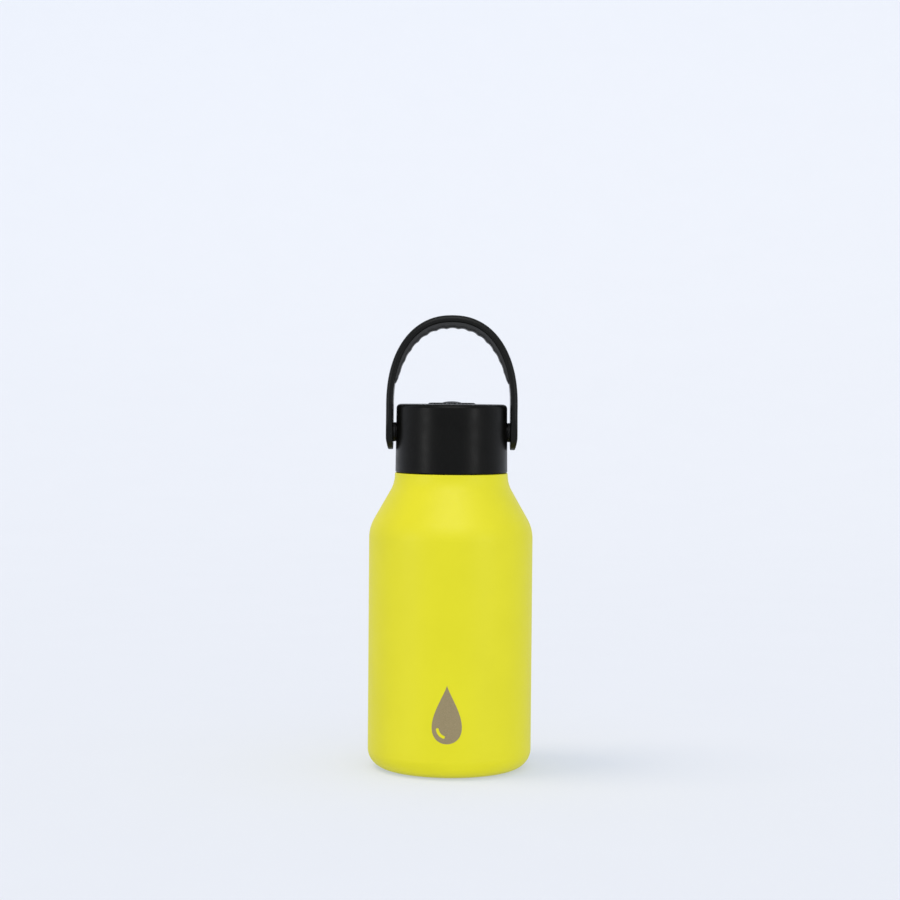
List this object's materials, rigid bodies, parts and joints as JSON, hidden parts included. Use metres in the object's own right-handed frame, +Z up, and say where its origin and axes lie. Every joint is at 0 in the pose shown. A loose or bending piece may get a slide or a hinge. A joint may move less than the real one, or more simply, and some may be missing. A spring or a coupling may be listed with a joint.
{
  "type": "kids water bottle",
  "caption": "Small insulated drinking flask for a child, with a conical shoulder, a screw lid and an upright carry handle that swings on the lid's sides.",
  "frame": {"origin": "centre of the foot, on the surface that the bottle stands on", "axes": "+Z up along the bottle's axis, X along the handle's pivot axis, -Y towards the front with the mark"},
  "size_m": [0.07, 0.07, 0.1932],
  "materials": {
    "powder_coat": "matte",
    "bare_steel": "satin",
    "solder_glass": "gloss",
    "getter_metal": "matte",
    "lid_plastic": "satin",
    "inner_plastic": "matte",
    "handle_plastic": "satin",
    "grip_rubber": "matte",
    "washer_rubber": "matte",
    "silicone": "satin",
    "foam": "matte"
  },
  "bodies": {
    "bottle": {"outer_shell": "powder_coat", "outer_base": "powder_coat", "base_cover": "powder_coat", "seal_bead": "solder_glass", "getter_clip": "bare_steel", "getter": "getter_metal", "inner_liner": "bare_steel", "inner_base": "bare_steel"},
    "seal": {"lid_gasket": "silicone"},
    "lid": {"lid_cap": "lid_plastic", "lid_inner_cap": "inner_plastic", "lid_foam": "foam", "lid_screw": "bare_steel", "top_badge": "lid_plastic", "right_washer": "washer_rubber", "left_washer": "washer_rubber", "right_pivot_pin": "handle_plastic", "left_pivot_pin": "handle_plastic"},
    "handle": {"handle_bail": "handle_plastic", "handle_grip": "grip_rubber"}
  },
  "joints": [
    {"name": "lid_lift", "type": "slide", "parent": "bottle", "child": "seal", "axis": [0, 0, 1], "range_m": [0, 0.02401]},
    {"name": "lid_turn", "type": "hinge", "parent": "seal", "child": "lid", "pos_m": [0, 0, 0.13], "axis": [0, 0, 1], "range_deg": [0, 1080]},
    {"name": "handle_pivot", "type": "hinge", "parent": "lid", "child": "handle", "pos_m": [0, 0, 0.14341], "axis": [1, 0, 0], "range_deg": [-127, 127]}
  ],
  "couplings": [
    {"joint": "lid_lift", "follows": "lid_turn", "m_per_rad": 0.0012732}
  ]
}
